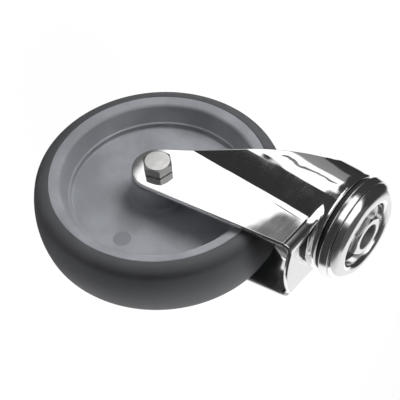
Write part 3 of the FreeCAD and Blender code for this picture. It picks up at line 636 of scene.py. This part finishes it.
def polished(name, base, rough, wave, wave_depth, haze, swell_depth=0.0, dull=0.0, bore=0.0):
    """Polished steel with a slow wave, the haze of use, and either dull flanks darkened by painted
    shade, or a dull bore.

    The flanks lie farther from the axle than dull, the bore nearer to the swivel axis than bore.
    """
    material, tree, shader, place = new_material(name)
    if tree is None:
        return material
    sheen = use_group(tree, polish_haze(), place, Wave=wave)
    tone = blend_colours(tree, sheen["Haze"], base, tinted(base, HAZE_TINT))
    gloss = arithmetic(tree, "MULTIPLY_ADD", sheen["Haze"], haze, rough)
    gloss = arithmetic(tree, "MULTIPLY_ADD", sheen["Hair"], haze, gloss)
    if dull or bore:
        if dull:
            mask = beyond(tree, place, WHEEL_MIDDLE, (1, 0, 1), dull)
        else:
            outside = beyond(tree, place, (0, 0, 0), (1, 1, 0), bore)
            mask = arithmetic(tree, "SUBTRACT", 1.0, outside)
        # Beyond the round face's radius from the axle this darker tint is painted shade; in the
        # sleeve's bore it is duller steel.
        tone = blend_colours(tree, mask, tone, tinted(base, DULL_AND_SHADED_TINT))
        gloss = arithmetic(tree, "MULTIPLY_ADD", mask, DULL_FLANK if dull else DULL_BORE, gloss)
    connect(tree, shader, Base_Color=tone, Roughness=gloss, Metallic=1.0)
    add_bump(tree, shader, sheen["Height"], 1.0, wave_depth)
    if swell_depth:
        add_bump(tree, shader, drawn_swell(tree, place), 1.0, swell_depth)
    return material


def finish():
    return bpy.context.scene.caster_finish


def polished_steel():
    return polished("fork_finish", finish().polished, finish().polish, wave=55.0,
                    wave_depth=0.0003, haze=0.025, swell_depth=0.0009)


def turned_steel():
    return polished("head_finish", finish().polished, finish().turned, wave=30.0,
                    wave_depth=0.00015, haze=0.06)


def sleeve_steel():
    """The sleeve is bright outside and dull in its bore."""
    return polished("sleeve_finish", finish().polished, finish().turned, wave=30.0,
                    wave_depth=0.0001, haze=0.06, bore=DULL_BORE_RADIUS)


def bolt_steel():
    """The bolt is bright on its round face, and dull on its flanks, which a painted shade also
    darkens.
    """
    return polished("bolt_finish", finish().bolt, rough=0.26, wave=60.0, wave_depth=0.0001,
                    haze=0.06, dull=bpy.context.scene.caster_bolt.face)


def bearing_steel():
    return polished("bearing_finish", finish().bearing, rough=0.12, wave=60.0,
                    wave_depth=0.00005, haze=0.06)


def wheel_plastic():
    wheel = bpy.context.scene.caster_wheel
    middle = WHEEL_MIDDLE + Vector((wheel.mark_behind, -wheel.web_level, wheel.mark_above))
    return moulded("wheel_finish", finish().wheel, rough=0.5, grain=2600.0, grain_depth=0.00004,
                   contrast=0.11, marks=[(middle, wheel.mark)])


def tread_rubber():
    return moulded("tread_finish", finish().tread, rough=0.58, grain=1800.0,
                   grain_depth=0.00006, contrast=0.07)


def seal_plastic():
    return moulded("seal_finish", finish().seal, rough=0.5, grain=2000.0, grain_depth=0.00003,
                   contrast=0.15)


def insert_plastic():
    return moulded("insert_finish", finish().insert, rough=0.45, grain=2000.0,
                   grain_depth=0.00003, contrast=0.05)


def cage_plastic():
    return moulded("cage_finish", finish().cage, rough=0.45, grain=2000.0, grain_depth=0.00003,
                   contrast=0.08)


class CASTER_OT_tread(bpy.types.Operator):
    """Turn the soft tread, with its crowned running surface and round shoulders."""

    bl_idname = "caster.tread"
    bl_label = "Tread"

    def execute(self, context):
        wheel = context.scene.caster_wheel
        edges = context.scene.caster_edges
        half = wheel.half_width
        middle = wheel.radius - wheel.crown_radius
        inset = half - wheel.shoulder
        between = wheel.crown_radius - wheel.shoulder
        round_middle = middle + math.sqrt(between ** 2 - inset ** 2)
        crown_half = math.degrees(math.asin(inset / between))
        mesh = bmesh.new()
        first = start(mesh, round_middle, half)
        corner = bend(mesh, first, (round_middle, inset), 90 - crown_half, steps=14)
        corner = bend(mesh, corner, (middle, 0), 2 * crown_half, steps=20)
        corner = bend(mesh, corner, (round_middle, -inset), 90 - crown_half, steps=14)
        anchor = anchor_places(wheel)
        anchor += mirrored(anchor)
        corner = polyline(mesh, corner, *reversed(anchor))
        close(mesh, corner, first)
        turn_round(mesh, wheel.segments)
        soften(mesh, ring_edges(mesh, both_sides(wheel.rim, half)), edges.tread_lip, segments=3)
        mesh.transform(AXLE)
        add_piece("tread_ring", mesh, "wheel", tread_rubber(), ["tread"])
        return {"FINISHED"}


class CASTER_OT_wheel_centre(bpy.types.Operator):
    """Turn the moulded wheel centre: flat ring, steep wall, ledge, disc and hub."""

    bl_idname = "caster.wheel_centre"
    bl_label = "Wheel centre"

    def execute(self, context):
        wheel = context.scene.caster_wheel
        edges = context.scene.caster_edges
        side = [(wheel.face, wheel.face_level), (wheel.wall, wheel.wall_level),
                (wheel.ledge, wheel.ledge_level), (wheel.web, wheel.web_level),
                (wheel.hub, wheel.hub_root), (wheel.hub, wheel.hub_level),
                (wheel.seat, wheel.hub_level), (wheel.seat, wheel.seat_level),
                (wheel.bore, wheel.seat_level)]
        anchor = anchor_places(wheel)
        mesh = bmesh.new()
        first = start(mesh, *anchor[0])
        corner = polyline(mesh, first, *side, *mirrored(side), *reversed(mirrored(anchor)),
                          *reversed(anchor[1:]))
        close(mesh, corner, first)
        turn_round(mesh, wheel.segments)
        for place, radius, steps in (((wheel.web, wheel.web_level), wheel.web_fillet, 8),
                                     ((wheel.hub, wheel.hub_root), wheel.hub_fillet, 8),
                                     ((wheel.ledge, wheel.ledge_level), edges.ledge, 4),
                                     ((wheel.wall, wheel.wall_level), edges.ledge, 4),
                                     ((wheel.face, wheel.face_level), wheel.face_round, 8),
                                     ((wheel.hub, wheel.hub_level), edges.moulded, 4),
                                     ((wheel.seat, wheel.hub_level), edges.moulded, 3),
                                     ((wheel.rim, wheel.half_width), edges.tread_lip, 3)):
            soften(mesh, ring_edges(mesh, both_sides(*place)), radius, steps)
        mesh.transform(AXLE)
        add_piece("wheel_disc", mesh, "wheel", wheel_plastic(), ["wheel_centre"])
        return {"FINISHED"}


class CASTER_OT_fork(bpy.types.Operator):
    """Dress the pressed fork, with its cut edges rounded and its surface polished."""

    bl_idname = "caster.fork"
    bl_label = "Fork"

    def execute(self, context):
        edges = context.scene.caster_edges
        mesh = copy_of("fork")
        soften(mesh, cut_edges(mesh), edges.sheet, segments=3, clamp=False)
        weigh_normals(add_piece("fork_pressing", mesh, "fork", polished_steel(),
                                ["fork"]))
        return {"FINISHED"}


class CASTER_OT_swivel_head(bpy.types.Operator):
    """Turn the cap, the race ring and the dust seal of the swivel head."""

    bl_idname = "caster.swivel_head"
    bl_label = "Swivel head"

    def execute(self, context):
        head = context.scene.caster_head
        edges = context.scene.caster_edges
        self.make_cap(head, edges)
        self.make_ring(head, edges)
        self.make_seal(head, edges)
        paint("lower_race", bearing_steel())
        return {"FINISHED"}

    def make_cap(self, head, edges):
        across = head.cap_edge - head.cap_crest
        dome = (across ** 2 + head.cap_drop ** 2) / (2 * head.cap_drop)
        sweep = math.degrees(math.atan2(across, dome - head.cap_drop))
        lip = head.cap_crest - head.recess
        floor = -head.recess_depth
        inside = head.recess + head.sheet
        mesh = bmesh.new()
        first = start(mesh, head.cap_edge, -head.cap_drop)
        corner = bend(mesh, first, (head.cap_crest, -dome), -sweep, steps=18)
        corner = bend(mesh, corner, (head.cap_crest, -lip), -90, steps=12)
        corner = polyline(mesh, corner, (head.recess, floor), (head.sleeve, floor),
                          (head.sleeve, floor - head.sheet), (inside, floor - head.sheet),
                          (inside, -lip))
        corner = bend(mesh, corner, (head.cap_crest, -lip), 90, steps=8)
        corner = bend(mesh, corner, (head.cap_crest, -dome), sweep, steps=14)
        close(mesh, corner, first)
        turn_round(mesh, head.segments)
        soften(mesh, ring_edges(mesh, [(head.recess, floor)]), edges.pressed, segments=4)
        soften(mesh, ring_edges(mesh, [(head.cap_edge, -head.cap_drop)]), edges.turned, segments=3)
        add_piece("head_cap", mesh, "swivel_head", turned_steel(), ["top_cap"])

    def make_ring(self, head, edges):
        low, high = -head.ring_bottom, -head.ring_top
        inside = head.ring_low - head.ring_band
        step = inside - (head.ring_low - head.ring_high)
        under = -head.plate_under
        drop = under + head.race_level
        half = math.sqrt(head.race ** 2 - drop ** 2)
        sweep = 2 * math.degrees(math.atan2(half, drop))
        mesh = bmesh.new()
        first = start(mesh, head.sleeve, -head.plate_top)
        corner = polyline(mesh, first, (head.sleeve, under), (head.pitch - half, under))
        corner = bend(mesh, corner, (head.pitch, -head.race_level), sweep, steps=12)
        corner = polyline(mesh, corner, (inside, under), (inside, low), (head.ring_low, low),
                          (head.ring_high, high), (step, high), (step, -head.plate_top))
        close(mesh, corner, first)
        turn_round(mesh, head.segments)
        soften(mesh, ring_edges(mesh, [(head.ring_low, low)]), edges.pressed, segments=5)
        soften(mesh, ring_edges(mesh, [(head.ring_high, high)]), edges.turned, segments=3)
        add_piece("head_race_ring", mesh, "swivel_head", turned_steel(),
                  ["race_ring"])

    def make_seal(self, head, edges):
        outside = head.ring_low - head.ring_band
        lip = edges.pressed
        mesh = bmesh.new()
        first = start(mesh, head.seal_inside, -head.plate_under)
        corner = polyline(mesh, first, (head.seal_inside, -head.seal_bottom + lip),
                          (head.seal_inside + lip, -head.seal_bottom), (outside, -head.seal_bottom),
                          (outside, -head.plate_under))
        close(mesh, corner, first)
        turn_round(mesh, head.segments)
        soften(mesh, ring_edges(mesh, [(outside, -head.seal_bottom)]), edges.turned, segments=3)
        add_piece("head_dust_seal", mesh, "swivel_head", seal_plastic(),
                  ["dust_seal"])


class CASTER_OT_hexagons(bpy.types.Operator):
    """Dress the hexagons: the sleeve round the bolt hole, the axle bolt and its nut."""

    bl_idname = "caster.hexagons"
    bl_label = "Sleeve, bolt and nut"

    def execute(self, context):
        rounding = context.scene.caster_edges.bolt
        for node, name, body, slot, material in (
                ("bolt_sleeve", "head_sleeve", "swivel_head", "polished_steel", sleeve_steel()),
                ("axle_nut", "axle_lock_nut", "fork", "bolt_steel", bolt_steel())):
            mesh = copy_of(node)
            soften(mesh, sharp_edges(mesh, HEXAGON_DEGREES), rounding, segments=3)
            weigh_normals(add_piece(name, mesh, body, material, [node]))
        paint("nut_insert", insert_plastic())
        self.make_bolt(context.scene.caster_bolt, rounding)
        return {"FINISHED"}

    def make_bolt(self, bolt, rounding):
        """Turns the bolt with a round face on its head, then cuts the six flats."""
        low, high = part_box("axle_bolt")
        top, end = -low.y, -high.y
        seat = top - bolt.head
        under = seat + bolt.washer_height
        outside = bolt.flats * BLANK_SHARE
        drop = (outside - bolt.face) * math.tan(bolt.slope)
        mesh = bmesh.new()
        polyline(mesh, start(mesh, 0, top), (bolt.face, top), (outside, top - drop),
                 (outside, under), (bolt.washer, under), (bolt.washer, seat), (bolt.shank, seat),
                 (bolt.shank, end + bolt.tip), (bolt.shank - bolt.tip, end), (0, end))
        turn_round(mesh, bolt.segments)
        for number in range(6):
            turned = math.radians(120 + 60 * number) - bolt.turn
            outward = Vector((math.cos(turned), math.sin(turned), 0))
            cut = bmesh.ops.bisect_plane(mesh, geom=mesh.verts[:] + mesh.edges[:] + mesh.faces[:],
                                         dist=NARROW / 100, plane_co=outward * bolt.flats / 2,
                                         plane_no=outward, clear_outer=True)
            rim = [item for item in cut["geom_cut"] if isinstance(item, bmesh.types.BMEdge)]
            bmesh.ops.edgeloop_fill(mesh, edges=rim)
        bmesh.ops.recalc_face_normals(mesh, faces=mesh.faces)
        soften(mesh, sharp_edges(mesh, HEXAGON_DEGREES), rounding / 2, segments=2)
        mesh.transform(AXLE)
        weigh_normals(add_piece("axle_screw", mesh, "fork", bolt_steel(),
                                ["axle_bolt"]))


class CASTER_OT_inner_pieces(bpy.types.Operator):
    """Finish the pieces that hardly show: balls, bearings and spacers."""

    bl_idname = "caster.inner_pieces"
    bl_label = "Bearings and spacers"

    def execute(self, context):
        for node in ("upper_balls", "lower_balls"):
            paint(node, bearing_steel())
        for side in SIDES:
            for piece in ("inner_ring", "outer_ring", "balls", "shield"):
                paint("bearing_%s_%s" % (piece, side), bearing_steel())
            paint("bearing_cage_" + side, cage_plastic())
            paint("side_spacer_" + side, bolt_steel())
        paint("axle_spacer", bolt_steel())
        return {"FINISHED"}


class CASTER_OT_stage(bpy.types.Operator):
    """Set the floor, the soft lights, the rings of tones, the surroundings and the camera."""

    bl_idname = "caster.stage"
    bl_label = "Stage"

    def execute(self, context):
        scene = context.scene
        settings = scene.caster_stage
        scene.view_settings.view_transform = "Standard"
        self.lay_floor(settings)
        for name, key, place in LAMPS:
            self.add_light(name, place, getattr(settings, key), settings.lamp)
        self.hang_rings(settings)
        self.set_surroundings(scene, settings)
        self.set_camera(scene, settings)
        return {"FINISHED"}

    def lay_floor(self, settings):
        mesh = bmesh.new()
        bmesh.ops.create_grid(mesh, x_segments=2, y_segments=2, size=FLOOR_REACH)
        bmesh.ops.translate(mesh, verts=mesh.verts, vec=(0, 0, FLOOR_LEVEL))
        material, tree, shader, _ = new_material("pale_floor")
        floor = new_object("floor", mesh, material)
        connect(tree, shader, Base_Color=(*settings.floor, 1.0), Roughness=FLOOR_ROUGHNESS,
                Specular_IOR_Level=0.0)
        white = add_node(tree, "ShaderNodeEmission", Color=(1, 1, 1, 1), Strength=FLOOR_GLOW)
        seen = arithmetic(tree, "MULTIPLY", self.seen_directly(tree), FLOOR_GLOW_SHARE)
        self.mix_shaders(tree, seen, shader.outputs["BSDF"], white.outputs["Emission"],
                         tree.nodes["Material Output"])

    def seen_directly(self, tree):
        """One where the camera, a mirror or glass looks, and nought for other light."""
        path = tree.nodes.new("ShaderNodeLightPath").outputs
        through = arithmetic(tree, "MAXIMUM", path["Is Glossy Ray"], path["Is Transmission Ray"])
        return arithmetic(tree, "MAXIMUM", path["Is Camera Ray"], through)

    def mix_shaders(self, tree, mask, first, second, output):
        mixed = tree.nodes.new("ShaderNodeMixShader")
        for socket, value in zip(mixed.inputs, (mask, first, second)):
            tree.links.new(value, socket)
        connect(tree, output, Surface=mixed.outputs["Shader"])

    def hang_rings(self, settings):
        """Rings of light and dark round the caster, which show only in gloss."""
        far = settings.ring_distance
        floor = FLOOR_LEVEL + NARROW
        for name, low, high, tones in (
                ("ring_floor", (0.0, floor), (FLOOR_EDGE, floor), FLOOR_TONES),
                ("ring_verge", (FLOOR_EDGE, floor), (far, floor), VERGE_TONES),
                ("ring_foot", (far, floor), (far, 0.0), FOOT_TONES),
                ("ring_low", (far, 0.0), (far, LOW_TOP), LOW_TONES),
                ("ring_high", (far, LOW_TOP), (far, HIGH_TOP), HIGH_TONES),
                ("ring_ceiling", (0.0, HIGH_TOP), (far, HIGH_TOP), ((180, settings.ceiling),))):
            mesh = bmesh.new()
            straight(mesh, start(mesh, *low), *high)
            turn_round(mesh, RING_STEPS)
            tree, place = self.add_ring(name, mesh)
            shade = self.tones_round(tree, place, tones)
            if tones is FLOOR_TONES:
                shade = self.lay_patch(tree, place, shade, settings.patch)
                shade = self.shade_under(tree, place, shade, settings.under)
            even = add_node(tree, "ShaderNodeEmission", Color=shade, Strength=1.0)
            connect(tree, tree.nodes["Material Output"], Surface=even.outputs["Emission"])

    def add_ring(self, name, mesh):
        """A ring that gloss shows and nothing else does."""
        material, tree, _, place = new_material(name)
        ring = new_object(name, mesh, material)
        ring.visible_camera = False
        ring.visible_diffuse = False
        ring.visible_transmission = False
        ring.visible_shadow = False
        return tree, place

    def tones_round(self, tree, place, tones):
        """Spreads tones round the swivel axis."""
        axes = add_node(tree, "ShaderNodeSeparateXYZ", Vector=place).outputs
        turn = arithmetic(tree, "ARCTAN2", arithmetic(tree, "MULTIPLY", axes["X"], -1.0),
                          arithmetic(tree, "MULTIPLY", axes["Y"], -1.0))
        part = arithmetic(tree, "MULTIPLY_ADD", turn, 1 / FULL_TURN, 0.5)
        ramp = add_node(tree, "ShaderNodeValToRGB", Fac=part)
        stops = ramp.color_ramp.elements
        for stop in stops:
            stop.color = (*grey(tones[0][1]), 1.0)
        for degrees, tone in tones[1:]:
            stops.new(degrees / 360 + 0.5).color = (*grey(tone), 1.0)
        return ramp.outputs["Color"]

    def lay_patch(self, tree, place, shade, tone):
        """A long soft patch on the floor."""
        drawn = add_node(tree, "ShaderNodeMapping", Vector=place, Scale=(*PATCH_REACH, 1.0),
                         Location=(*PATCH_PLACE, FLOOR_LEVEL),
                         Rotation=(0, 0, math.radians(PATCH_DEGREES)))
        drawn.vector_type = "TEXTURE"
        away = vector_arithmetic(tree, "LENGTH", drawn.outputs["Vector"])["Value"]
        mask = spread(tree, away, *PATCH_EDGE, 1.0, 0.0)
        return blend_colours(tree, mask, shade, grey(tone))

    def shade_under(self, tree, place, shade, tone):
        """Darkens the floor right under the caster."""
        away = vector_arithmetic(tree, "DISTANCE", place, (0, 0, FLOOR_LEVEL))["Value"]
        mask = spread(tree, away, *UNDER_EDGE, 1.0, 0.0)
        return blend_colours(tree, mask, shade, grey(tone))

    def add_light(self, name, place, watts, across):
        data = bpy.data.lights.new(name, "AREA")
        data.shape = "DISK"
        data.size = across
        data.energy = watts
        light = bpy.data.objects.new(name, data)
        light.location = place
        light.visible_glossy = False
        light.rotation_euler = (LAMP_AIM - light.location).to_track_quat("-Z", "Y").to_euler()
        bpy.context.scene.collection.objects.link(light)

    def set_surroundings(self, scene, settings):
        world = bpy.data.worlds.new("surroundings")
        scene.world = world
        world.use_nodes = True
        tree = world.node_tree
        plain = tree.nodes["Background"]
        connect(tree, plain, Color=(1, 1, 1, 1), Strength=settings.ambient)
        white = add_node(tree, "ShaderNodeBackground", Color=(1, 1, 1, 1), Strength=1.0)
        self.mix_shaders(tree, self.seen_directly(tree), plain.outputs["Background"],
                         white.outputs["Background"], tree.nodes["World Output"])

    def set_camera(self, scene, settings):
        data = bpy.data.cameras.new("camera")
        data.lens = settings.lens
        data.sensor_width = SENSOR_MILLIMETRES
        data.clip_start = NEAREST_SEEN
        camera = bpy.data.objects.new("camera", data)
        backward = CAMERA_RIGHT.cross(CAMERA_UP)
        turned = Matrix((CAMERA_RIGHT, CAMERA_UP, backward)).transposed()
        camera.matrix_world = Matrix.Translation(settings.camera_place) @ turned.to_4x4()
        scene.collection.objects.link(camera)
        scene.camera = camera


class CASTER_PT_sidebar(bpy.types.Panel):
    """Buttons for the pieces and the sizes that they use."""

    bl_idname = "CASTER_PT_sidebar"
    bl_label = "Swivel caster"
    bl_space_type = "VIEW_3D"
    bl_region_type = "UI"
    bl_category = "Caster"

    def draw(self, context):
        for operator in PIECES:
            self.layout.operator(operator.bl_idname)
        for name, group in GROUPS.items():
            box = self.layout.box()
            box.label(text=group.__doc__.rstrip("."))
            for key in group.__annotations__:
                box.prop(getattr(context.scene, name), key)


PIECES = (CASTER_OT_tread, CASTER_OT_wheel_centre, CASTER_OT_fork, CASTER_OT_swivel_head,
          CASTER_OT_hexagons, CASTER_OT_inner_pieces, CASTER_OT_stage)
CLASSES = (*GROUPS.values(), *PIECES, CASTER_PT_sidebar)


def register():
    for item in CLASSES:
        bpy.utils.register_class(item)
    for name, group in GROUPS.items():
        setattr(bpy.types.Scene, name, PointerProperty(type=group))


def unregister():
    for name in GROUPS:
        delattr(bpy.types.Scene, name)
    for item in reversed(CLASSES):
        bpy.utils.unregister_class(item)


def main():
    register()
    for operator in PIECES:
        module, name = operator.bl_idname.split(".")
        getattr(getattr(bpy.ops, module), name)()


if __name__ == "__main__":
    main()
